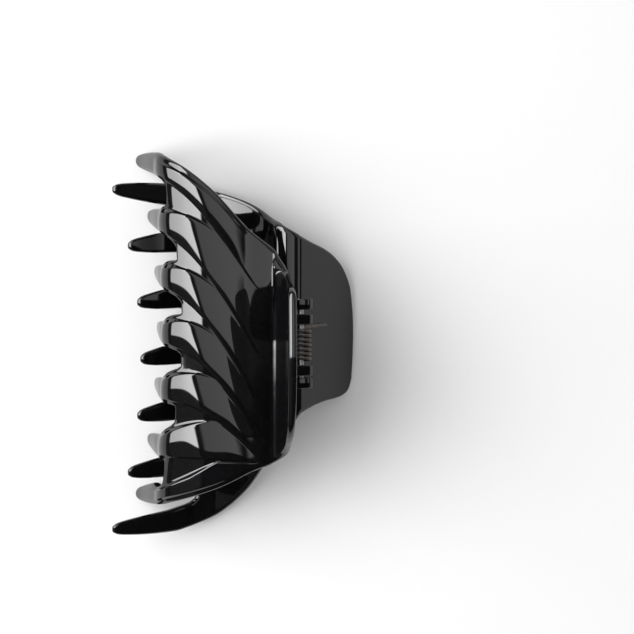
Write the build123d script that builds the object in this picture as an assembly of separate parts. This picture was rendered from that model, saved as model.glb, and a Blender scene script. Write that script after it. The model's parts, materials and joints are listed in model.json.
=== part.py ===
from build123d import *
from math import cos, radians, sin
import os

# Claw clip lying on a table: two like jaws on one pin, with a torsion spring between them.
# Each jaw is drawn in its own frame: x from the pin towards the teeth, y away from the middle
# plane between the jaws, z along the pin. Lengths are millimetres, angles are degrees.

# How the clip lies: the back thumb plate and the front end teeth touch the table
TILT = 17.0

# Jaw sheet, walked along its centreline from the free edge of the thumb plate
SHEET = 2.0
PLATE_EDGE = (-5.9, 24.3)
PLATE_HEADING = -67.4
PLATE_LENGTH = 21.0
BEND_RADIUS = 3.0
RISE_HEADING = 55.0
RISE_RADIUS = 20.0
FALL_RADIUS = 8.0
FALL_HEADING = -63.0

# Thumb plate outline, as distance from the free edge and place along the pin
PLATE_LOW = [(2.1, -15.7), (4.1, -19.1), (7.3, -21.6), (12.4, -23.7)]
PLATE_MIDDLE = (0.0, -3.0)
PLATE_HIGH = [(1.0, 10.8), (3.8, 13.3), (11.5, 14.5), (16.4, 15.7)]
FOOT_LOW = -26.4
FOOT_HIGH = 17.2

# Body outline, seen square to the middle plane
BODY_LOW = [(9.0, -30.2), (17.5, -34.9), (26.0, -37.8), (31.8, -39.0)]
BODY_HIGH = [(5.6, 20.5), (12.4, 29.6), (19.0, 37.6), (26.0, 43.4), (31.8, 46.0)]
BODY_START = 1.0
WEB_END = 25.7

# Teeth
TEETH_EACH_SIDE = 3
TOOTH_PITCH = 13.8
TOOTH_SHIFT = 3.9
TOOTH_DROP = 17.0
TOOTH_REACH = 38.8
SIDE_REACH = 0.74
SIDE_DROP = 0.27

# The ribs that carry the teeth fan in towards the plate and swirl to its low side
LOW_CURL = 0.0124
HIGH_CURL = 0.0257
SWIRL_START = 23.0
SWIRL_RATE = 0.0009
RIB_START = 8.0
# Share of the way along a rib and tooth, then width, height and lift above the sheet centreline
TOOTH_SECTIONS = [
    (0.00, 2.4, 1.2, 0.00),
    (0.12, 4.2, 1.8, 0.25),
    (0.25, 5.6, 2.3, 0.50),
    (0.38, 6.2, 2.5, 0.60),
    (0.50, 6.2, 2.5, 0.55),
    (0.62, 5.6, 2.8, 0.25),
    (0.74, 4.9, 2.9, 0.05),
    (0.86, 4.3, 2.8, 0.00),
    (0.96, 3.6, 2.5, 0.00),
    (1.00, 2.0, 1.4, 0.00),
]
# Even steps a tooth is built in
TOOTH_STEPS = 14
# Corners of a tooth's section, as shares of its width and height
CUSHION = (0.41, 0.33)

# Hinge
LUG_RADIUS = 3.1
LUG_WIDTH = 2.6
OUTER_LUGS = (9.5, -9.5)
INNER_LUGS = (5.8, -6.5)
LUG_REACH = 4.0
PIN_RADIUS = 0.9
PIN_LENGTH = 20.6
PIN_PRESS = 0.02
PIN_PLAY = 0.05

# Spring
WIRE_RADIUS = 0.45
COIL_RADIUS = 2.4
COIL_PITCH = 1.1
WHOLE_TURNS = 7
COIL_MIDDLE = -0.35
LEG_LENGTH = 13.0

# Blocks used for trimming reach this far
REACH = 60.0


def heading(angle):
    """Unit step in a heading, measured from x towards y."""
    return Vector(cos(radians(angle)), sin(radians(angle)))


def left_of(angle):
    """Unit step square to a heading, on the side facing away from the pin."""
    return Vector(-sin(radians(angle)), cos(radians(angle)))


PLATE_FOOT = Vector(*PLATE_EDGE) + heading(PLATE_HEADING) * PLATE_LENGTH
BEND_CENTRE = PLATE_FOOT + left_of(PLATE_HEADING) * BEND_RADIUS
RISE_START = BEND_CENTRE - left_of(RISE_HEADING) * BEND_RADIUS
RISE_CENTRE = RISE_START - left_of(RISE_HEADING) * RISE_RADIUS
FALL_CENTRE = RISE_CENTRE + Vector(0, RISE_RADIUS - FALL_RADIUS)
FALL_END = FALL_CENTRE + left_of(FALL_HEADING) * FALL_RADIUS
RISE_ARC = RISE_RADIUS * radians(RISE_HEADING)
FALL_ARC = FALL_RADIUS * radians(-FALL_HEADING)
TOOTH_PATH = RISE_ARC + FALL_ARC + TOOTH_DROP


def along_sheet(distance):
    """Point and heading on the sheet centreline, this far past the start of the rise."""
    if distance < RISE_ARC:
        angle = RISE_HEADING * (1 - distance / RISE_ARC)
        return RISE_CENTRE + left_of(angle) * RISE_RADIUS, angle
    if distance < RISE_ARC + FALL_ARC:
        angle = FALL_HEADING * (distance - RISE_ARC) / FALL_ARC
        return FALL_CENTRE + left_of(angle) * FALL_RADIUS, angle
    past = distance - RISE_ARC - FALL_ARC
    return FALL_END + heading(FALL_HEADING) * past, FALL_HEADING


def plate():
    """Thumb plate: flat, with a bowed free edge, flaring towards the bend on its low side."""
    across = Plane(origin=(*PLATE_EDGE, 0), x_dir=heading(PLATE_HEADING), z_dir=-left_of(PLATE_HEADING))
    low_foot = (PLATE_LENGTH, FOOT_LOW)
    high_foot = (PLATE_LENGTH, FOOT_HIGH)
    edges = [
        ThreePointArc(PLATE_LOW[0], PLATE_MIDDLE, PLATE_HIGH[0]),
        Spline(*PLATE_HIGH, high_foot),
        Line(high_foot, low_foot),
        Spline(*PLATE_LOW, low_foot),
    ]
    return extrude(across * make_face(edges), amount=SHEET / 2, both=True)


def body_line(offset):
    """One face of the body sheet, offset from its centreline, away from the pin when positive."""
    start = PLATE_FOOT + left_of(PLATE_HEADING) * offset
    bend = JernArc(start, heading(PLATE_HEADING), BEND_RADIUS - offset, RISE_HEADING - PLATE_HEADING)
    rise = JernArc(bend @ 1, heading(RISE_HEADING), RISE_RADIUS + offset, -RISE_HEADING)
    fall = JernArc(rise @ 1, heading(0), FALL_RADIUS + offset, FALL_HEADING)
    return [bend, rise, fall]


def body():
    """Body of the jaw: the curved sheet trimmed to its fan outline."""
    outer = body_line(SHEET / 2)
    inner = body_line(-SHEET / 2)
    foot = Line(outer[0] @ 0, inner[0] @ 0)
    end = Line(outer[-1] @ 1, inner[-1] @ 1)
    sheet = extrude(make_face(outer + inner + [foot, end]), amount=REACH, both=True)
    low_foot = (BODY_START, FOOT_LOW)
    high_foot = (BODY_START, FOOT_HIGH)
    edges = [
        Line(low_foot, high_foot),
        Spline(high_foot, *BODY_HIGH),
        ThreePointArc(BODY_HIGH[-1], (WEB_END, TOOTH_SHIFT), BODY_LOW[-1]),
        Spline(low_foot, *BODY_LOW),
    ]
    square_on = Plane(origin=(0, 0, 0), x_dir=(1, 0, 0), z_dir=(0, -1, 0))
    return sheet & extrude(square_on * make_face(edges), amount=REACH, both=True)


def tooth_line(place, share):
    """Centre of a tooth's section, its heading along the sheet and its place along the pin."""
    point, angle = along_sheet(RIB_START + (TOOTH_PATH - RIB_START) * share)
    back = max(0.0, TOOTH_REACH - point.X)
    side = TEETH_EACH_SIDE * TOOTH_PITCH
    low = TOOTH_SHIFT - side + LOW_CURL * back**2
    high = TOOTH_SHIFT + side - HIGH_CURL * back**2
    swirl = 1 - SWIRL_RATE * max(0.0, SWIRL_START - point.X) ** 2
    rank = (place + TEETH_EACH_SIDE) / (2 * TEETH_EACH_SIDE)
    outward = place**2 * share**2
    moved = point + Vector(SIDE_REACH * outward, -SIDE_DROP * outward)
    return moved, angle, low + (high - low) * rank * swirl


def cushion(width, height):
    """Section of a tooth: four bulging sides."""
    x, y = CUSHION[0] * width, CUSHION[1] * height
    edges = [
        ThreePointArc((x, -y), (width / 2, 0), (x, y)),
        ThreePointArc((x, y), (0, height / 2), (-x, y)),
        ThreePointArc((-x, y), (-width / 2, 0), (-x, -y)),
        ThreePointArc((-x, -y), (0, -height / 2), (x, -y)),
    ]
    return make_face(edges)


def tooth_size(share):
    """Width, height and lift of a tooth's section, this share of the way along it."""
    for start, end in zip(TOOTH_SECTIONS, TOOTH_SECTIONS[1:]):
        if share <= end[0]:
            part = (share - start[0]) / (end[0] - start[0])
            return [first + (last - first) * part for first, last in zip(start[1:], end[1:])]


def tooth(place):
    """A tooth and the rib that carries it across the outside of the jaw."""
    sections = []
    for step in range(TOOTH_STEPS + 1):
        share = step / TOOTH_STEPS
        width, height, lift = tooth_size(share)
        point, angle, across = tooth_line(place, share)
        centre = point + left_of(angle) * lift + Vector(0, 0, across)
        plane = Plane(origin=centre, x_dir=(0, 0, 1), z_dir=heading(angle))
        sections.append(plane * cushion(width, height))
    return loft(sections)


def lug(place, bore):
    """A hinge lug: a round boss about the pin, webbed to the sheet at the foot of the plate."""
    up_plate = PLATE_FOOT - heading(PLATE_HEADING) * LUG_REACH
    under_bend = BEND_CENTRE - Vector(0, BEND_RADIUS)
    boss = Edge.make_circle(LUG_RADIUS)
    tie = Edge.make_line(up_plate, under_bend)
    outline = make_face(make_hull([boss, tie]).edges())
    return Pos(0, 0, place) * extrude(outline - Circle(bore), amount=LUG_WIDTH / 2, both=True)


def jaw(lug_places, bore):
    """A whole jaw: thumb plate, fan-shaped body, ribbed teeth and a pair of lugs."""
    teeth = [tooth(place) for place in range(-TEETH_EACH_SIDE, TEETH_EACH_SIDE + 1)]
    lugs = [lug(place, bore) for place in lug_places]
    return plate() + body() + teeth + lugs


def hinge_pin():
    """Plain rod through the four lugs."""
    return extrude(Circle(PIN_RADIUS), amount=PIN_LENGTH / 2, both=True)


def torsion_spring():
    """Close coil about the pin; each end runs on as a leg lying along the inside of a thumb plate."""
    lean = 90 + PLATE_HEADING
    last_turn = 2 * lean / 360
    height = (WHOLE_TURNS + last_turn) * COIL_PITCH
    bottom = Pos(0, 0, COIL_MIDDLE - height / 2) * Rot(0, 0, lean)
    turn = Helix(COIL_PITCH, COIL_PITCH, COIL_RADIUS, lefthand=True)
    coil = [bottom * Pos(0, 0, count * COIL_PITCH) * turn for count in range(WHOLE_TURNS)]
    short_turn = Helix(COIL_PITCH, last_turn * COIL_PITCH, COIL_RADIUS, lefthand=True)
    coil.append(bottom * Pos(0, 0, WHOLE_TURNS * COIL_PITCH) * short_turn)
    first, last = coil[0], coil[-1]
    front_leg = Line(first @ 0 - first % 0 * LEG_LENGTH, first @ 0)
    back_leg = Line(last @ 1, last @ 1 + last % 1 * LEG_LENGTH)
    path = Wire([piece.edge() for piece in [front_leg, *coil, back_leg]])
    return sweep(Plane(path @ 0, z_dir=path % 0) * Circle(WIRE_RADIUS), path=path)


def main():
    os.makedirs("parts", exist_ok=True)
    lying = Plane(
        origin=(0, 0, 0),
        x_dir=(-cos(radians(TILT)), 0, -sin(radians(TILT))),
        z_dir=(0, 1, 0),
    )
    pieces = {
        "front_jaw": jaw(INNER_LUGS, PIN_RADIUS + PIN_PLAY),
        "back_jaw": Rot(180, 0, 0) * jaw(OUTER_LUGS, PIN_RADIUS - PIN_PRESS),
        "hinge_pin": hinge_pin(),
        "torsion_spring": torsion_spring(),
    }
    laid = {name: lying.location * shape for name, shape in pieces.items()}
    box = Compound(list(laid.values())).bounding_box()
    rest = Pos(-box.center().X, -box.center().Y, -box.min.Z)
    for name, shape in laid.items():
        export_step(rest * shape, f"parts/{name}.step")
    print("hinge at", rest.position)


main()
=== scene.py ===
import json
import math

import bmesh
import bpy
import numpy as np
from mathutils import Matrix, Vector


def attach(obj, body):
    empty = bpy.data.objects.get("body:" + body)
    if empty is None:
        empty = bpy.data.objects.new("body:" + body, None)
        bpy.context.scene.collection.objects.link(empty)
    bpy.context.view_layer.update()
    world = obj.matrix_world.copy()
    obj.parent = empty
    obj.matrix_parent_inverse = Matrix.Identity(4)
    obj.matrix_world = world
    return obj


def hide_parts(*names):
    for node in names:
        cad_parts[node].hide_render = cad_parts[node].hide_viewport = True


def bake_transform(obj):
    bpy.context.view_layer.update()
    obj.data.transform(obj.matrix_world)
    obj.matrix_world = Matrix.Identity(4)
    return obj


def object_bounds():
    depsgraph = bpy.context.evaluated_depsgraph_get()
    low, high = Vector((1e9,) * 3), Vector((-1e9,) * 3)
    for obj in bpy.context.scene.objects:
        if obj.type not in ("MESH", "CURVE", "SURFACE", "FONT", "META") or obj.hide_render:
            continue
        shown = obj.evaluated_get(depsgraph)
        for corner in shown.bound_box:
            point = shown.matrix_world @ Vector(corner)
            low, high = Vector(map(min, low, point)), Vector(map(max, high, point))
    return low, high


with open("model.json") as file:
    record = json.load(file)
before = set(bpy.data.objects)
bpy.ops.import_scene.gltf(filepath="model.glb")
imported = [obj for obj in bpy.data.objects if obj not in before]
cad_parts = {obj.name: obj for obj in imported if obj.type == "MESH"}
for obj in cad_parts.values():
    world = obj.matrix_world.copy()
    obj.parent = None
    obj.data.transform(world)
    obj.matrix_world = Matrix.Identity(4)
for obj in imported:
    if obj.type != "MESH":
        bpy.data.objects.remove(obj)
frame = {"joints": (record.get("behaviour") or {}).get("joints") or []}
cad_low, cad_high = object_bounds()
centre = (cad_low + cad_high) / 2

MM = 0.001
HINGE = next(j for j in frame["joints"] if j["name"] == "jaw_hinge")
PIVOT = np.array(HINGE["pos_m"])
TILT = math.radians(17.0)

# ---------------------------------------------------------------- profile of a jaw, in millimetres
# Jaw frame: u from the pin towards the teeth, v away from the middle plane, w along the pin.
# d is the distance along the sheet from the free edge of the thumb plate.
PLATE_EDGE = np.array([-5.9, 24.3])
PLATE_HEADING = math.radians(-67.4)
PLATE_LENGTH = 21.0
BEND_R = 3.0
RISE_HEADING = math.radians(55.0)
RISE_R = 20.0
FALL_R = 8.0
FALL_HEADING = math.radians(-63.0)
DROP = 17.0
HALF_SHEET = 1.0


def heading(a):
    """Unit vector that points along the angle a."""
    return np.stack([np.cos(a), np.sin(a)], -1)


def left_of(a):
    """Unit vector a quarter turn to the left of the angle a."""
    return np.stack([-np.sin(a), np.cos(a)], -1)


PLATE_FOOT = PLATE_EDGE + heading(PLATE_HEADING) * PLATE_LENGTH
BEND_C = PLATE_FOOT + left_of(PLATE_HEADING) * BEND_R
RISE_START = BEND_C - left_of(RISE_HEADING) * BEND_R
RISE_C = RISE_START - left_of(RISE_HEADING) * RISE_R
FALL_C = RISE_C + np.array([0.0, RISE_R - FALL_R])
FALL_END = FALL_C + left_of(FALL_HEADING) * FALL_R
D_BEND = PLATE_LENGTH
D_RISE = D_BEND + BEND_R * (RISE_HEADING - PLATE_HEADING)
D_FALL = D_RISE + RISE_R * RISE_HEADING
D_DROP = D_FALL - FALL_R * FALL_HEADING
D_TIP = D_DROP + DROP


def centreline(d):
    """Point (u, v) and heading of the middle of the sheet at the distances d."""
    d = np.asarray(d, float)
    stretches = [d < D_BEND, d < D_RISE, d < D_FALL, d < D_DROP]
    headings = [
        np.full_like(d, PLATE_HEADING),
        PLATE_HEADING + (d - D_BEND) / BEND_R,
        RISE_HEADING * (1 - (d - D_RISE) / (RISE_R * RISE_HEADING)),
        -(d - D_FALL) / FALL_R,
    ]
    angle = np.select(stretches, headings, FALL_HEADING)
    normal = left_of(angle)
    points = [
        PLATE_EDGE + heading(PLATE_HEADING) * d[..., None],
        BEND_C - normal * BEND_R,
        RISE_C + normal * RISE_R,
        FALL_C + normal * FALL_R,
    ]
    drop = FALL_END + heading(FALL_HEADING) * (d - D_DROP)[..., None]
    return np.select([s[..., None] for s in stretches], points, drop), angle


def smooth_through(x, xs, ys):
    """Monotone cubic through the points (xs, ys)."""
    xs, ys = np.array(xs, float), np.array(ys, float)
    h = np.diff(xs)
    m = np.diff(ys) / h
    slope = np.zeros(len(xs))
    slope[0], slope[-1] = m[0], m[-1]
    same = m[:-1] * m[1:] > 0
    slope[1:-1][same] = 2 * m[:-1][same] * m[1:][same] / (m[:-1][same] + m[1:][same])
    x = np.clip(np.asarray(x, float), xs[0], xs[-1])
    i = np.clip(np.searchsorted(xs, x) - 1, 0, len(h) - 1)
    s = (x - xs[i]) / h[i]
    return (
        ys[i] * (1 + 2 * s) * (1 - s) ** 2
        + ys[i + 1] * s * s * (3 - 2 * s)
        + h[i] * (slope[i] * s * (1 - s) ** 2 - slope[i + 1] * s * s * (1 - s))
    )


def ease(x):
    """Smooth step from 0 to 1."""
    x = np.clip(x, 0.0, 1.0)
    return x * x * (3 - 2 * x)


# ---------------------------------------------------------------- outline, ribs and teeth, in millimetres
RIM = 0.9
TEETH = range(-3, 4)
FIRST, LAST = TEETH[0], TEETH[-1]
PITCH = 13.8
SHIFT = 3.9

# Outline of the jaw as (d, w), from the plate's free edge to the roots of the end teeth.
LOW_SIDE = [
    (0, -14.6), (0.4, -16.0), (1.0, -17.4), (2.0, -19.0), (3.4, -20.3), (7.3, -22.3), (12.4, -23.7),
    (21, -26.4), (27.4, -29.3), (30, -30.2), (40.2, -34.9), (48.9, -37.8), (56.2, -39.4),
]
HIGH_SIDE = [
    (0, 9.6), (0.5, 11.4), (1.4, 12.5), (3.8, 13.4), (11.5, 14.5), (16.4, 15.7),
    (21, 17.2), (25.2, 20.6), (34.5, 29.6), (41.8, 37.6), (48.9, 43.3), (56.2, 46.6),
]

# The ribs swirl from their teeth to one corner: rib number, how far it swirls, how sharply.
SWIRL_RIB = [-2, -1, 2, 3]
SWIRL_AMOUNT = [0.95, 0.93, 0.55, 0.416]
SWIRL_POWER = [2.60, 2.57, 1.84, 1.66]
SWIRL_END = -28.7
SWIRL_U, SWIRL_SPAN = 33.0, 24.0
RIB_START, RIB_STEP = -13.7, 13.75
HOLD_U = 9.3

# Teeth: half their width by distance along the sheet.
TOOTH_D = [57.3, 60, 65.5, 69.4, 71.0, 71.7]
TOOTH_HALF = [2.15, 2.00, 1.70, 1.30, 0.92, 0.46]
D_BODY, D_ROOT = 57.2, TOOTH_D[0]
ROOT_HALF = 2.1
LEAN_POWER = 0.9

# Webs: how far they reach at the middle, how much further at the ends, and their rounded corners.
WEB_U, WEB_RISE, WEB_HALF = 25.7, 6.4, 42.7
FILLET = 1.6
D_LATE, D_MEASURE = 38.0, 50.0
WEB_DIP = 0.015


def low_edge(d):
    return smooth_through(d, *zip(*LOW_SIDE)) + RIM


def high_edge(d):
    return smooth_through(d, *zip(*HIGH_SIDE)) - RIM


def crease(s, u):
    """Where the low, crisp side of rib s lies across the jaw."""
    start = RIB_START + RIB_STEP * (s + 1)
    amount = np.interp(s, SWIRL_RIB, SWIRL_AMOUNT)
    power = np.interp(s, SWIRL_RIB, SWIRL_POWER)
    x = np.clip((SWIRL_U - u) / SWIRL_SPAN, 0, None)
    return SWIRL_END + (start - SWIRL_END) * (1 - amount * x**power)


def tooth_half(d):
    return smooth_through(d, TOOTH_D, TOOTH_HALF)


def tooth_centre(s, d):
    """Middle of tooth s, which leans from its rib to its place in the even row of tips."""
    if s == FIRST:
        root = low_edge(D_ROOT) + ROOT_HALF
    elif s == LAST:
        root = high_edge(D_ROOT) - ROOT_HALF
    else:
        root = crease(s, SWIRL_U) + ROOT_HALF
    tip = SHIFT + PITCH * s
    x = np.clip((d - D_ROOT) / (D_TIP - D_ROOT), 0, 1)
    return root + (tip - root) * x**LEAN_POWER


def web_end(w):
    """Distance along the sheet at which the web between two teeth stops, w millimetres along the pin."""
    u = WEB_U + WEB_RISE * ((w - SHIFT) / WEB_HALF) ** 2
    return D_FALL + FALL_R * math.asin((u - RISE_C[0]) / FALL_R) - RIM


# ---------------------------------------------------------------- columns of a jaw
N_WALL, N_TOP, N_SHOULDER, N_WEB = 5, 14, 6, 12
BEND_ROWS = 26
PLATE_STEP, BODY_STEP, TOOTH_STEP = 0.85, 0.36, 0.42
EDGE_ROWS = [0.0, 0.12, 0.3, 0.55, 0.85, 1.2, 1.6, 2.1, 2.7, 3.4]
TIP_ROWS = [70.0, 70.4, 70.75, 71.05, 71.3, 71.5, 71.62, 71.7]

SOFT_WIDTH = 1.7
SOFT_FROM, SOFT_FROM_RUN = 48.0, 4.0
SOFT_TO, SOFT_TO_RUN = 70.9, 3.0

RELIEF, RELIEF_U, RELIEF_RUN, RELIEF_WIDTH = 1.05, 8.6, 13.0, 4.0
TAPER, TAPER_D, TAPER_RUN = 0.8, 50.0, 8.0
SPACE_LEAST, SPACE_STEP = 0.4, 0.25
GAP_U, GAP_RUN, GAP = 17.0, 16.0, 9.55
GAP_LEAST, GAP_MOST = 0.012, 0.72
BACK_U, BACK_RUN = 16.0, 9.0
WALL, FIRST_WALL, WALL_SHARE = 0.42, 0.75, 0.16
SHOULDER, SHOULDER_GROWTH, LAST_SHOULDER, SHOULDER_SHARE = 0.35, 0.85, 1.1, 0.22
TOP_POWER = 1.4
CROWN, CROWN_SHARE, CROWN_U, CROWN_RUN = 0.16, 0.04, 10.0, 6.0
EVEN_SHARE, EVEN_START, EVEN_RUN = 0.5, 1.0, 16.0


def soften(values, rows):
    """Take the corner out of an outline where the body hands over to a tooth."""
    out = values.copy()
    for r, d in enumerate(rows):
        weight = np.exp(-(((rows - d) / SOFT_WIDTH) ** 2)) * np.gradient(rows)
        share = ease((d - SOFT_FROM) / SOFT_FROM_RUN) * ease((SOFT_TO - d) / SOFT_TO_RUN)
        out[r] = (1 - share) * values[r] + share * (weight @ values) / weight.sum()
    return out


def row_stations():
    """Distances along the sheet at which the jaw has a row of vertices."""
    parts = [
        EDGE_ROWS,
        np.arange(4.2, D_BEND - 0.4, PLATE_STEP),
        np.linspace(D_BEND, D_RISE, BEND_ROWS),
        np.arange(D_RISE + 0.4, D_BODY - 0.2, BODY_STEP),
        [D_BODY],
        np.arange(D_BODY + 0.4, 69.8, TOOTH_STEP),
        TIP_ROWS,
    ]
    return np.concatenate(parts)


def column(w, h, d, n, s, kind):
    """A line of vertices down the jaw: places w and relief h at distances d; the first n are used."""
    return dict(w=w, h=h, d=d, n=n, s=s, kind=kind)


def rib_outlines(rows, u):
    """Where each rib and its tooth start and end across the jaw, row by row, and how high they stand."""
    body = rows <= D_BODY
    low, high = low_edge(rows), high_edge(rows)
    held_u = np.maximum(u, HOLD_U)
    starts = {s: np.maximum(crease(s, held_u), low + SPACE_LEAST + SPACE_STEP * (s - FIRST)) for s in TEETH}
    starts[FIRST], starts[LAST + 1] = low, high
    web_share = np.clip((held_u - GAP_U) / GAP_RUN, 0, 1)
    back_share = ease((held_u - BACK_U) / BACK_RUN)
    ribs = {}
    for s in TEETH:
        space = starts[s + 1] - starts[s]
        gap = np.clip(GAP * web_share, GAP_LEAST * space, GAP_MOST * space) if s < LAST else 0.0
        middle, half = tooth_centre(s, rows), tooth_half(rows)
        foot = soften(np.where(body, starts[s], middle - half), rows)
        end = soften(np.where(body, starts[s + 1] - gap, middle + half), rows)
        wide = end - foot
        wall = np.minimum(WALL if s > FIRST else FIRST_WALL, WALL_SHARE * wide)
        fall = SHOULDER + SHOULDER_GROWTH * back_share if s < LAST else LAST_SHOULDER
        full = RELIEF * ease((u - RELIEF_U) / RELIEF_RUN) * np.minimum(1, wide / RELIEF_WIDTH)
        taper = 1 - TAPER * ease((rows - TAPER_D) / TAPER_RUN)
        ribs[s] = dict(
            foot=foot,
            top=foot + wall,
            shoulder=end - np.minimum(fall, SHOULDER_SHARE * wide),
            end=end,
            height=np.where(rows < D_RISE, 0, full) * taper,
            back=np.where(body, back_share, 1.0) if s < LAST else np.ones_like(u),
        )
    return ribs, web_share


def rib_columns(rib, s, rows, u):
    """Columns across one rib: its crisp wall, its top and the shoulder that falls to the web."""
    foot, top, shoulder, end = rib["foot"], rib["top"], rib["shoulder"], rib["end"]
    height, back = rib["height"], rib["back"]
    n = len(rows)
    columns = []
    for x in np.arange(N_WALL) / N_WALL:
        columns.append(column(foot + (top - foot) * x, height * ease(x), rows, n, s, "wall"))
    crown = np.minimum(CROWN, CROWN_SHARE * (shoulder - top)) * ease((u - CROWN_U) / CROWN_RUN)
    for x in np.arange(N_TOP + 1) / N_TOP:
        rise = height
        if s > FIRST:
            rise = height * (1 - (1 - back) * x**TOP_POWER) + crown * 4 * x * (1 - x)
        columns.append(column(top + (shoulder - top) * x, rise, rows, n, s, "top"))
    for x in np.arange(1, N_SHOULDER + 1) / N_SHOULDER:
        rise = height * back * (1 - ease(x))
        columns.append(column(shoulder + (end - shoulder) * x, rise, rows, n, s, "shoulder"))
    return columns


def web_columns(rib, following, s, rows, web_share):
    """Columns across the web after rib s, which ends in a notch with round corners, and its last row."""
    at = int(np.argmin(abs(rows - D_MEASURE)))
    d_web = web_end((rib["end"][at] + following["foot"][at]) / 2)
    side_row = int(np.argmin(abs(rows - d_web - FILLET)))
    d_side = rows[side_row]
    late = (rows > D_LATE) & (rows <= d_side)
    columns = []
    for x in np.arange(1, N_WEB) / N_WEB:
        towards_side = max(0.0, abs(2 * x - 1) * 2 - 1)
        d_end = d_web + FILLET * (1 - math.sqrt(max(0.0, 1 - towards_side**2)))
        d = rows.copy()
        d[late] = D_LATE + (rows[late] - D_LATE) * (d_end - D_LATE) / (d_side - D_LATE)
        near = np.interp(d, rows, rib["end"])
        far = np.interp(d, rows, following["foot"])
        dip = -WEB_DIP * 4 * x * (1 - x) * web_share
        columns.append(column(near + (far - near) * x, dip, d, side_row + 1, s + x, "web"))
    return columns, side_row


def spread_over_plate(columns, rows, u):
    """From the hold row to the plate's free edge the columns keep their share of the width, and even out."""
    held = (rows < D_FALL) & (u < HOLD_U) | (rows < D_RISE)
    hold_row = int(np.argmax(~held))
    before = np.arange(len(rows)) < hold_row
    low, high = low_edge(rows), high_edge(rows)
    mix = EVEN_SHARE * ease((D_RISE + EVEN_START - rows) / EVEN_RUN)
    for i, c in enumerate(columns):
        share = (c["w"][hold_row] - low[hold_row]) / (high[hold_row] - low[hold_row])
        w = np.where(before, low + (high - low) * share, c["w"])
        even = low + (high - low) * i / (len(columns) - 1)
        c["w"] = w * (1 - mix) + even * mix


def jaw_columns():
    """Rows and columns of a jaw from its low side to its high side, and the row at which each web stops."""
    rows = row_stations()
    u = centreline(rows)[0][:, 0]
    ribs, web_share = rib_outlines(rows, u)
    columns, web_rows = [], {}
    for s in TEETH:
        columns += rib_columns(ribs[s], s, rows, u)
        if s < LAST:
            web, web_rows[s] = web_columns(ribs[s], ribs[s + 1], s, rows, web_share)
            columns += web
    spread_over_plate(columns, rows, u)
    return rows, columns, web_rows


# ---------------------------------------------------------------- surface of a jaw
# The plate's free edge is bowed, the end teeth splay, the teeth thin out and the bend is fuller outside.
BOW_MIDDLE, BOW_LOW, BOW_HIGH, BOW_RUN = -3.0, 0.0106, 0.0053, 12.0
SPLAY_D, SPLAY_U, SPLAY_V = D_RISE + 8, 0.74, -0.27
SLIM, SLIM_D, SLIM_RUN = 0.38, 60.0, 12.0
INNER_SWELL, SWELL_D, SWELL_RUN = 0.12, 55.0, 4.0
CORNER, CORNER_FLARE = 0.8, 1.7
CORNER_FROM, CORNER_FROM_RUN = 17.0, 6.5
CORNER_TO, CORNER_TO_RUN = 33.5, 7.5
FLARE_W, FLARE_RUN = 1.0, 13.0

RIM_STEPS = 8
BODY_BULGE, TOOTH_BULGE, BULGE_CHANGE = 0.85, 0.66, 3.0
DIRECTION_BLURS, BULGE_BLURS = 3, 8
LOW_SIDE_SAMPLE = 10


def column_points(c):
    """Outer and inner points (u, v, w) of one column."""
    n = c["n"]
    d, w, h = c["d"][:n], c["w"][:n], c["h"][:n]
    bow = np.where(w < BOW_MIDDLE, BOW_LOW, BOW_HIGH) * (w - BOW_MIDDLE) ** 2
    p, angle = centreline(d + (bow + RIM) * np.clip(1 - d / BOW_RUN, 0, 1))
    normal = left_of(angle)
    splay = c["s"] ** 2 * np.clip((d - SPLAY_D) / (D_TIP - SPLAY_D), 0, 1) ** 2
    p = p + np.stack([SPLAY_U * splay, SPLAY_V * splay], -1)
    slim = 1 - SLIM * ease((d - SLIM_D) / SLIM_RUN)
    flare = CORNER + CORNER_FLARE * ease((w - FLARE_W) / FLARE_RUN)
    corner = flare * ease((d - CORNER_FROM) / CORNER_FROM_RUN) * ease((CORNER_TO - d) / CORNER_TO_RUN)
    outside = (HALF_SHEET + h + corner) * slim
    inside = (HALF_SHEET + INNER_SWELL * ease((d - SWELL_D) / SWELL_RUN)) * slim
    outer = p + normal * outside[:, None]
    inner = p - normal * inside[:, None]
    return np.column_stack([outer, w]), np.column_stack([inner, w])


def edge_loop(rows, columns, web_rows):
    """(column, row) of each point round the edge: low side, teeth and webs, high side, plate edge."""
    loop = []
    last = len(rows) - 1
    ci = 0
    while ci < len(columns):
        if columns[ci]["kind"] == "web":
            loop.append((ci, columns[ci]["n"] - 1))
            ci += 1
            continue
        tooth = columns[ci]["s"]
        loop += [(ci, r) for r in range(web_rows.get(tooth - 1, 0), last)]
        first = ci
        while ci < len(columns) and columns[ci]["s"] == tooth and columns[ci]["kind"] != "web":
            ci += 1
        loop += [(k, last) for k in range(first, ci)]
        loop += [(ci - 1, r) for r in range(last - 1, web_rows.get(tooth, 0) - 1, -1)]
    return loop + [(k, 0) for k in range(len(columns) - 2, 0, -1)]


def blur(values, times):
    """Smooth values round a closed loop."""
    for _ in range(times):
        values = (np.roll(values, 1, 0) + 2 * values + np.roll(values, -1, 0)) / 4
    return values


def unit(vectors):
    return vectors / np.linalg.norm(vectors, axis=1)[:, None]


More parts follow.
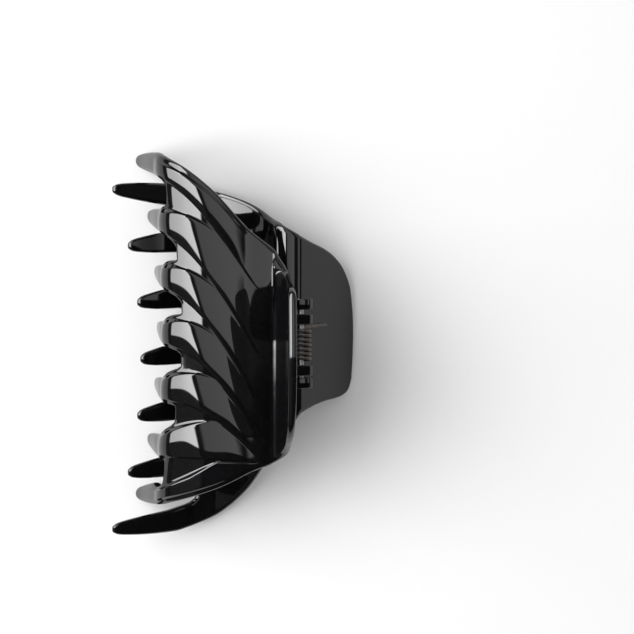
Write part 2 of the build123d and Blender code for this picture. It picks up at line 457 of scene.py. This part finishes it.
def rim_points(outer, inner, in_tooth):
    """Rings of points that round the rim off between the outer and the inner edge."""
    middle, half = (outer + inner) / 2, (outer - inner) / 2
    tangent = np.roll(middle, -1, 0) - np.roll(middle, 1, 0)
    outward = unit(np.cross(tangent, half))
    # the loop starts up the low side, so outward there has to point to lower w
    if outward[LOW_SIDE_SAMPLE, 2] > 0:
        outward = -outward
    outward = unit(blur(outward, DIRECTION_BLURS))
    bulge = np.where(in_tooth, TOOTH_BULGE, BODY_BULGE) * np.linalg.norm(half, axis=1)
    bulge = blur(bulge, BULGE_BLURS)
    rings = []
    for k in range(1, RIM_STEPS):
        turn = math.pi * k / RIM_STEPS
        rings.append(middle + half * math.cos(turn) + outward * (bulge * math.sin(turn))[:, None])
    return rings


def jaw_surface():
    """Vertices in the jaw frame and faces of one jaw, closed, with a rounded rim all round."""
    rows, columns, web_rows = jaw_columns()
    outer, inner, index = [], [], {}
    for ci, c in enumerate(columns):
        index.update({(ci, r): len(outer) + r for r in range(c["n"])})
        out_points, in_points = column_points(c)
        outer += list(out_points)
        inner += list(in_points)
    n_side = len(outer)
    verts = outer + inner
    faces = []
    for ci in range(len(columns) - 1):
        for r in range(min(columns[ci]["n"], columns[ci + 1]["n"]) - 1):
            a, b, c, d = index[ci, r], index[ci, r + 1], index[ci + 1, r + 1], index[ci + 1, r]
            faces.append((a, b, c, d))
            faces.append((a + n_side, d + n_side, c + n_side, b + n_side))
    loop = edge_loop(rows, columns, web_rows)
    ids = [index[place] for place in loop]
    in_tooth = np.array([rows[r] > D_BODY - BULGE_CHANGE for _, r in loop])
    rings = [ids]
    outer_edge = np.array([outer[i] for i in ids])
    inner_edge = np.array([inner[i] for i in ids])
    for points in rim_points(outer_edge, inner_edge, in_tooth):
        rings.append(list(range(len(verts), len(verts) + len(ids))))
        verts += list(points)
    rings.append([i + n_side for i in ids])
    for near, far in zip(rings, rings[1:]):
        for j in range(len(ids)):
            k = (j + 1) % len(ids)
            faces.append((near[j], far[j], far[k], near[k]))
    return np.array(verts), faces


# ---------------------------------------------------------------- hinge parts, in millimetres
LUG_R, LUG_W, BORE = 3.1, 2.6, 0.93
LUG_EDGE, BORE_EDGE = 0.3, 0.12
LUG_SIDES, LUG_EDGE_STEPS = 96, 4
LUG_UP_PLATE = 4.0
OUTER_LUGS, INNER_LUGS = (9.5, -9.5), (5.8, -6.5)
PIN_R, PIN_LENGTH = 0.9, 20.6
PIN_SIDES, PIN_STATIONS, PIN_EVEN = 40, 24, 9.0
# Distance from the pin's end and how much thinner the pin is there.
PIN_ENDS = [(0.0, 0.85), (0.01, 0.22), (0.25, 0.0)]
WIRE_R, COIL_R, COIL_PITCH, TURNS = 0.45, 2.4, 1.1, 7
COIL_MIDDLE, LEG = -0.35, 13.0
WIRE_SIDES, COIL_STEPS, LEG_STEPS, LEG_START = 18, 48, 26, 0.25
WIRE_END_SHARE = 0.8
NEARLY_ALONG = 0.99
COIL_LEAN = math.pi / 2 + PLATE_HEADING
COIL_TURNS = TURNS + 2 * COIL_LEAN / math.tau
COIL_HALF = COIL_TURNS * COIL_PITCH / 2


def lug_surface(place):
    """A boss about the pin, webbed to the plate and the bend, with softened edges and a bore."""
    up_plate = PLATE_FOOT - heading(PLATE_HEADING) * LUG_UP_PLATE
    under_bend = BEND_C - np.array([0, BEND_R])
    angles = np.linspace(0, math.tau, LUG_SIDES, endpoint=False)
    hull = convex_hull(np.vstack([heading(angles) * LUG_R, up_plate[None], under_bend[None]]))
    radius = np.array([ray_to_polygon(hull, a) for a in angles])
    half = LUG_W / 2
    levels = []
    for k in range(LUG_EDGE_STEPS + 1):
        turn = math.pi / 2 * k / LUG_EDGE_STEPS
        level = half - LUG_EDGE + LUG_EDGE * math.sin(turn)
        levels.append((level, radius - LUG_EDGE + LUG_EDGE * math.cos(turn)))
    levels.append((half, np.full(LUG_SIDES, BORE + BORE_EDGE)))
    levels.append((half - BORE_EDGE, np.full(LUG_SIDES, BORE)))
    rings = levels[::-1] + [(-z, r) for z, r in levels]
    verts, faces = [], []
    for z, radii in rings:
        for a, r in zip(angles, radii):
            verts.append((math.cos(a) * r, math.sin(a) * r, place + z))
    for k in range(len(rings)):
        for j in range(LUG_SIDES):
            here, there = k * LUG_SIDES, (k + 1) % len(rings) * LUG_SIDES
            along = (j + 1) % LUG_SIDES
            faces.append((here + j, here + along, there + along, there + j))
    return np.array(verts), faces


def turns_right(a, b, p):
    """Whether the path a, b, p goes straight on or turns to the right."""
    return (b[0] - a[0]) * (p[1] - a[1]) - (b[1] - a[1]) * (p[0] - a[0]) <= 0


def hull_chain(points):
    """One side of a convex hull, from points sorted along it."""
    chain = []
    for p in points:
        while len(chain) > 1 and turns_right(chain[-2], chain[-1], p):
            chain.pop()
        chain.append(p)
    return chain


def convex_hull(points):
    points = sorted(map(tuple, points))
    return np.array(hull_chain(points)[:-1] + hull_chain(points[::-1])[:-1])


def ray_to_polygon(polygon, angle):
    """Distance from the origin to a polygon round it, in the direction of the angle."""
    tiny = 1e-9
    ray = (math.cos(angle), math.sin(angle))
    best = 0
    for a, b in zip(polygon, np.roll(polygon, -1, 0)):
        side = b - a
        across = ray[0] * side[1] - ray[1] * side[0]
        if abs(across) < tiny:
            continue
        reach = (a[0] * side[1] - a[1] * side[0]) / across
        share = (a[0] * ray[1] - a[1] * ray[0]) / across
        if reach > 0 and -tiny <= share <= 1 + tiny:
            best = max(best, reach)
    return best


def tube(path, radius, sides):
    """Closed round tube along a path of points, with a radius at each."""
    path = np.asarray(path)
    tangents = unit(np.gradient(path, axis=0))
    along_w = abs(tangents[0, 2]) > NEARLY_ALONG
    reference = np.array([1.0, 0.0, 0.0]) if along_w else np.array([0.0, 0.0, 1.0])
    normal = reference - tangents[0] * (reference @ tangents[0])
    turns = np.linspace(0, math.tau, sides, endpoint=False)
    verts, faces = [], []
    for p, t, r in zip(path, tangents, radius):
        normal = normal - t * (normal @ t)
        normal = normal / np.linalg.norm(normal)
        side = np.cross(t, normal)
        for turn in turns:
            verts.append(p + r * (math.cos(turn) * normal + math.sin(turn) * side))
    for i in range(len(path) - 1):
        for j in range(sides):
            a, b = i * sides + j, i * sides + (j + 1) % sides
            faces.append((a, b, b + sides, a + sides))
    faces.append(tuple(range(sides))[::-1])
    faces.append(tuple(range((len(path) - 1) * sides, len(path) * sides)))
    return np.array(verts), faces


def pin_surface():
    """Straight rod with softened ends."""
    half = PIN_LENGTH / 2
    ends = np.array([half - inset for inset, _ in PIN_ENDS])
    z = np.concatenate([-ends, np.linspace(-PIN_EVEN, PIN_EVEN, PIN_STATIONS), ends[::-1]])
    radius = np.full(len(z), PIN_R)
    for i, (_, thinner) in enumerate(PIN_ENDS):
        radius[[i, -1 - i]] -= thinner
    return tube(np.column_stack([0 * z, 0 * z, z]), radius, PIN_SIDES)


def coil_tangent(angle):
    """Unit vector along the wire where the coil has turned to the angle."""
    t = np.array([COIL_R * math.sin(angle), -COIL_R * math.cos(angle), COIL_PITCH / math.tau])
    return t / np.linalg.norm(t)


def spring_path():
    """Coil about the pin, with a straight leg off each end that lies along a thumb plate."""
    t = np.linspace(0, COIL_TURNS, int(COIL_TURNS * COIL_STEPS))
    angle = COIL_LEAN - math.tau * t
    along = COIL_MIDDLE - COIL_HALF + COIL_PITCH * t
    coil = np.column_stack([COIL_R * np.cos(angle), COIL_R * np.sin(angle), along])
    off_start, off_end = -coil_tangent(angle[0]), coil_tangent(angle[-1])
    reach = np.linspace(LEG, LEG_START, LEG_STEPS)[:, None]
    return np.vstack([coil[0] + off_start * reach, coil, coil[-1] + off_end * reach[::-1]])


def spring_surface():
    path = spring_path()
    radius = np.full(len(path), WIRE_R)
    radius[[0, -1]] *= WIRE_END_SHARE
    return tube(path, radius, WIRE_SIDES)


# ---------------------------------------------------------------- building objects
def to_row(points, turned=False):
    """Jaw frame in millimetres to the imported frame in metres; turned gives the back jaw's side."""
    u, v, w = points[:, 0], points[:, 1], points[:, 2]
    if turned:
        v, w = -v, -w
    c, s = math.cos(TILT), math.sin(TILT)
    return PIVOT + MM * np.stack([-u * c - v * s, w, v * c - u * s], -1)


def add_mesh(name, pieces, mat):
    """One smooth object from several closed surfaces."""
    verts, faces = [], []
    for piece_verts, piece_faces in pieces:
        base = len(verts)
        verts += [tuple(x) for x in piece_verts]
        faces += [tuple(i + base for i in face) for face in piece_faces]
    me = bpy.data.meshes.new(name)
    me.from_pydata(verts, [], faces)
    bm = bmesh.new()
    bm.from_mesh(me)
    bmesh.ops.recalc_face_normals(bm, faces=bm.faces)
    bm.to_mesh(me)
    bm.free()
    me.polygons.foreach_set("use_smooth", [True] * len(me.polygons))
    me.materials.append(mat)
    me.update()
    ob = bpy.data.objects.new(name, me)
    bpy.context.scene.collection.objects.link(ob)
    return ob


# ---------------------------------------------------------------- node helpers
def new_material(name):
    mat = bpy.data.materials.new(name)
    mat.use_nodes = True
    nt = mat.node_tree
    return mat, nt, nt.nodes["Principled BSDF"]


def noise(nt, scale, detail):
    place = nt.nodes.new("ShaderNodeTexCoord")
    node = nt.nodes.new("ShaderNodeTexNoise")
    node.inputs["Scale"].default_value = scale
    node.inputs["Detail"].default_value = detail
    nt.links.new(place.outputs["Object"], node.inputs["Vector"])
    return node.outputs["Fac"]


def ramp(nt, source, stops):
    node = nt.nodes.new("ShaderNodeValToRGB")
    elements = node.color_ramp.elements
    while len(elements) < len(stops):
        elements.new(0.5)
    for element, (position, colour) in zip(elements, stops):
        element.position = position
        element.color = (*colour, 1)
    nt.links.new(source, node.inputs["Fac"])
    return node.outputs["Color"]


def map_value(nt, source, low, high):
    node = nt.nodes.new("ShaderNodeMapRange")
    node.inputs["To Min"].default_value = low
    node.inputs["To Max"].default_value = high
    nt.links.new(source, node.inputs["Value"])
    return node.outputs["Result"]


def smooth_range(nt, source, from_min, from_max, to_min=0.0, to_max=1.0):
    node = nt.nodes.new("ShaderNodeMapRange")
    node.interpolation_type = "SMOOTHSTEP"
    values = {"From Min": from_min, "From Max": from_max, "To Min": to_min, "To Max": to_max}
    for name, value in values.items():
        node.inputs[name].default_value = value
    nt.links.new(source, node.inputs["Value"])
    return node.outputs["Result"]


def math_node(nt, operation, *values):
    """Maths on sockets or plain numbers."""
    node = nt.nodes.new("ShaderNodeMath")
    node.operation = operation
    for socket, value in zip(node.inputs, values):
        if isinstance(value, (int, float)):
            socket.default_value = value
        else:
            nt.links.new(value, socket)
    return node.outputs[0]


def bump(nt, source, strength, distance):
    node = nt.nodes.new("ShaderNodeBump")
    node.inputs["Strength"].default_value = strength
    node.inputs["Distance"].default_value = distance
    nt.links.new(source, node.inputs["Height"])
    return node.outputs["Normal"]


# ---------------------------------------------------------------- materials
# Noise scales are per metre. Colour ramps are (noise value, colour).
BLACKS = [(0.35, (0.0035, 0.0033, 0.0038)), (0.75, (0.0055, 0.005, 0.0056))]
STEELS = [(0.3, (0.34, 0.34, 0.35)), (0.8, (0.5, 0.5, 0.51))]
OXIDES = [(0.3, (0.07, 0.063, 0.059)), (0.8, (0.15, 0.135, 0.125))]
WHITES = [(0.3, (0.80, 0.80, 0.805)), (0.8, (0.83, 0.83, 0.835))]
POLISH = (0.02, 0.06)
PLASTIC_IOR = 1.5
RIPPLE_STRENGTH, RIPPLE_DEPTH = 0.05, 0.0004
TABLE_RADIUS = 0.125
# Painted shade in reflections: the share of the radius over which the table's reflected colour goes near
# black, how dark it is painted close in, and the near black colour.
TABLE_PAINTED_DARK_FADE = (0.92, 1.12)
TABLE_PAINTED_SHADE_NEAR = 0.22
TABLE_PAINTED_DARK_IN_REFLECTIONS = (0.01, 0.01, 0.01, 1)


def black_plastic():
    """Polished jet black moulding with a faint ripple, the same on both jaws."""
    mat, nt, bsdf = new_material("jet_black_plastic")
    nt.links.new(ramp(nt, noise(nt, 900.0, 3.0), BLACKS), bsdf.inputs["Base Color"])
    nt.links.new(map_value(nt, noise(nt, 260.0, 2.0), *POLISH), bsdf.inputs["Roughness"])
    bsdf.inputs["IOR"].default_value = PLASTIC_IOR
    ripple = bump(nt, noise(nt, 120.0, 1.0), RIPPLE_STRENGTH, RIPPLE_DEPTH)
    nt.links.new(ripple, bsdf.inputs["Normal"])
    return mat


def metal(name, scale, detail, colours, metallic, roughness):
    mat, nt, bsdf = new_material(name)
    grain = noise(nt, scale, detail)
    nt.links.new(ramp(nt, grain, colours), bsdf.inputs["Base Color"])
    bsdf.inputs["Metallic"].default_value = metallic
    nt.links.new(map_value(nt, grain, *roughness), bsdf.inputs["Roughness"])
    return mat


def table_white():
    """Pale table; in reflections its colour has painted shade: a little darker close to the clip and painted
    near black a little way round it, as if the table ended there.
    """
    mat, nt, bsdf = new_material("pale_table")
    colour = ramp(nt, noise(nt, 6.0, 4.0), WHITES)
    place = nt.nodes.new("ShaderNodeTexCoord")
    length = nt.nodes.new("ShaderNodeVectorMath")
    length.operation = "LENGTH"
    nt.links.new(place.outputs["Object"], length.inputs[0])
    # Painted shade: in glossy rays only, the table's colour is mixed towards near black, partly close to the
    # clip and fully beyond the fade.
    near, end = (TABLE_RADIUS * share for share in TABLE_PAINTED_DARK_FADE)
    far = smooth_range(nt, length.outputs["Value"], near, end)
    ray = nt.nodes.new("ShaderNodeLightPath")
    painted_reflection_shade = map_value(nt, far, TABLE_PAINTED_SHADE_NEAR, 1.0)
    mix = nt.nodes.new("ShaderNodeMix")
    mix.data_type = "RGBA"
    nt.links.new(math_node(nt, "MULTIPLY", painted_reflection_shade, ray.outputs["Is Glossy Ray"]), mix.inputs["Factor"])
    nt.links.new(colour, mix.inputs["A"])
    mix.inputs["B"].default_value = TABLE_PAINTED_DARK_IN_REFLECTIONS
    nt.links.new(mix.outputs["Result"], bsdf.inputs["Base Color"])
    bsdf.inputs["Roughness"].default_value = 0.75
    bsdf.inputs["Specular IOR Level"].default_value = 0.2
    return mat


PLASTIC = black_plastic()
STEEL = metal("drawn_steel", 2200.0, 2.0, STEELS, 1.0, (0.22, 0.4))
WIRE = metal("black_oxide_wire", 1500.0, 3.0, OXIDES, 0.55, (0.28, 0.42))
TABLE = table_white()


# ---------------------------------------------------------------- the four pieces
def make_jaw(name, body, sheet, lugs, turned):
    verts, faces = sheet
    pieces = [(to_row(verts, turned), faces)]
    for place in lugs:
        lug_verts, lug_faces = lug_surface(place)
        pieces.append((to_row(lug_verts, turned), lug_faces))
    ob = add_mesh(name + "_look", pieces, PLASTIC)
    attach(ob, body)
    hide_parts(name)


def make_pin():
    verts, faces = pin_surface()
    ob = add_mesh("hinge_pin_look", [(to_row(verts), faces)], STEEL)
    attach(ob, "back_half")
    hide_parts("hinge_pin")


def make_spring():
    """The spring as one coil in its rest shape, baked into place and attached to neither half."""
    verts, faces = spring_surface()
    ob = add_mesh("torsion_spring_look", [(to_row(verts), faces)], WIRE)
    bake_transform(ob)
    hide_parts("torsion_spring")


jaw_sheet = jaw_surface()
make_jaw("front_jaw", "front_half", jaw_sheet, INNER_LUGS, False)
make_jaw("back_jaw", "back_half", jaw_sheet, OUTER_LUGS, True)
make_pin()
make_spring()

# ---------------------------------------------------------------- stage, in metres
FLOOR_HALF = 1.5
PANEL_LEVEL, REPEAT_SHARE, EVEN_LEVEL = 16.0, 0.12, 0.62
PANEL_Y_FADE, PANEL_Y_DIM = (-0.024, -0.008), 0.012
# What the gloss sees round the clip: degrees from overhead, positive to the right, and share of the panel.
SURROUND = [
    (-180, 0.0), (-87, 0.004), (-84, 0.5), (-55, 0.66), (-18, 0.9), (-15.5, 0.003), (-9, 0.003),
    (-4, 0.08), (42, 0.10), (48, 0.004), (72, 0.004), (76, 0.07), (180, 0.06),
]
LIGHT_PLACE, LIGHT_SIZE, LIGHT_POWER = (-0.55, 0.1, 0.6), 0.7, 8
CAMERA_HEIGHT, CAMERA_SEES, SENSOR = 0.75, 0.1579, 36
CAMERA_X, CAMERA_Y = 0.0041, 0.0064
CLIP_START, CLIP_END = 0.01, 20


def make_floor():
    h = FLOOR_HALF
    me = bpy.data.meshes.new("floor")
    me.from_pydata([(-h, -h, 0), (h, -h, 0), (h, h, 0), (-h, h, 0)], [], [(0, 1, 2, 3)])
    me.materials.append(TABLE)
    floor = bpy.data.objects.new("floor", me)
    floor.location = (centre.x, centre.y, cad_low.z)
    bpy.context.scene.collection.objects.link(floor)


def studio_world():
    """Even white light for the table; the gloss sees a tall panel at the left and a dim ceiling."""
    world = bpy.data.worlds.new("studio")
    bpy.context.scene.world = world
    world.use_nodes = True
    nt = world.node_tree
    even = nt.nodes["Background"]
    even.inputs["Color"].default_value = (1, 1, 1, 1)
    even.inputs["Strength"].default_value = EVEN_LEVEL
    place = nt.nodes.new("ShaderNodeTexCoord")
    xyz = nt.nodes.new("ShaderNodeSeparateXYZ")
    nt.links.new(place.outputs["Generated"], xyz.inputs["Vector"])
    angle = math_node(nt, "ARCTAN2", xyz.outputs["X"], xyz.outputs["Z"])
    share = math_node(nt, "MULTIPLY_ADD", angle, 1 / math.tau, 0.5)
    bands = ramp(nt, share, [(0.5 + a / 360, (v, v, v)) for a, v in SURROUND])
    side_fade = smooth_range(nt, xyz.outputs["Y"], *PANEL_Y_FADE, PANEL_Y_DIM, 1.0)
    ray = nt.nodes.new("ShaderNodeLightPath")
    repeat = PANEL_LEVEL * REPEAT_SHARE
    level = smooth_range(nt, ray.outputs["Glossy Depth"], 1.0, 2.0, PANEL_LEVEL, repeat)
    glow = nt.nodes.new("ShaderNodeBackground")
    nt.links.new(bands, glow.inputs["Color"])
    nt.links.new(math_node(nt, "MULTIPLY", side_fade, level), glow.inputs["Strength"])
    mix = nt.nodes.new("ShaderNodeMixShader")
    nt.links.new(ray.outputs["Is Glossy Ray"], mix.inputs["Fac"])
    nt.links.new(even.outputs["Background"], mix.inputs[1])
    nt.links.new(glow.outputs["Background"], mix.inputs[2])
    nt.links.new(mix.outputs["Shader"], nt.nodes["World Output"].inputs["Surface"])


def make_light():
    """Large soft light from the left, hidden from reflections."""
    light = bpy.data.lights.new("left_softbox", "AREA")
    light.shape = "SQUARE"
    light.size = LIGHT_SIZE
    light.energy = LIGHT_POWER
    ob = bpy.data.objects.new("left_softbox", light)
    bpy.context.scene.collection.objects.link(ob)
    ob.location = centre + Vector(LIGHT_PLACE)
    ob.rotation_mode = "QUATERNION"
    ob.rotation_quaternion = (centre - ob.location).to_track_quat("-Z", "Y")
    ob.visible_glossy = False


def make_camera():
    """Straight down from above, a little to one side of the hinge."""
    lens = bpy.data.cameras.new("camera")
    lens.sensor_width = SENSOR
    lens.lens = SENSOR * CAMERA_HEIGHT / CAMERA_SEES
    lens.clip_start, lens.clip_end = CLIP_START, CLIP_END
    camera = bpy.data.objects.new("camera", lens)
    bpy.context.scene.collection.objects.link(camera)
    camera.location = (PIVOT[0] + CAMERA_X, PIVOT[1] + CAMERA_Y, cad_low.z + CAMERA_HEIGHT)
    bpy.context.scene.camera = camera


make_floor()
studio_world()
make_light()
make_camera()
bpy.context.scene.view_settings.view_transform = "Standard"
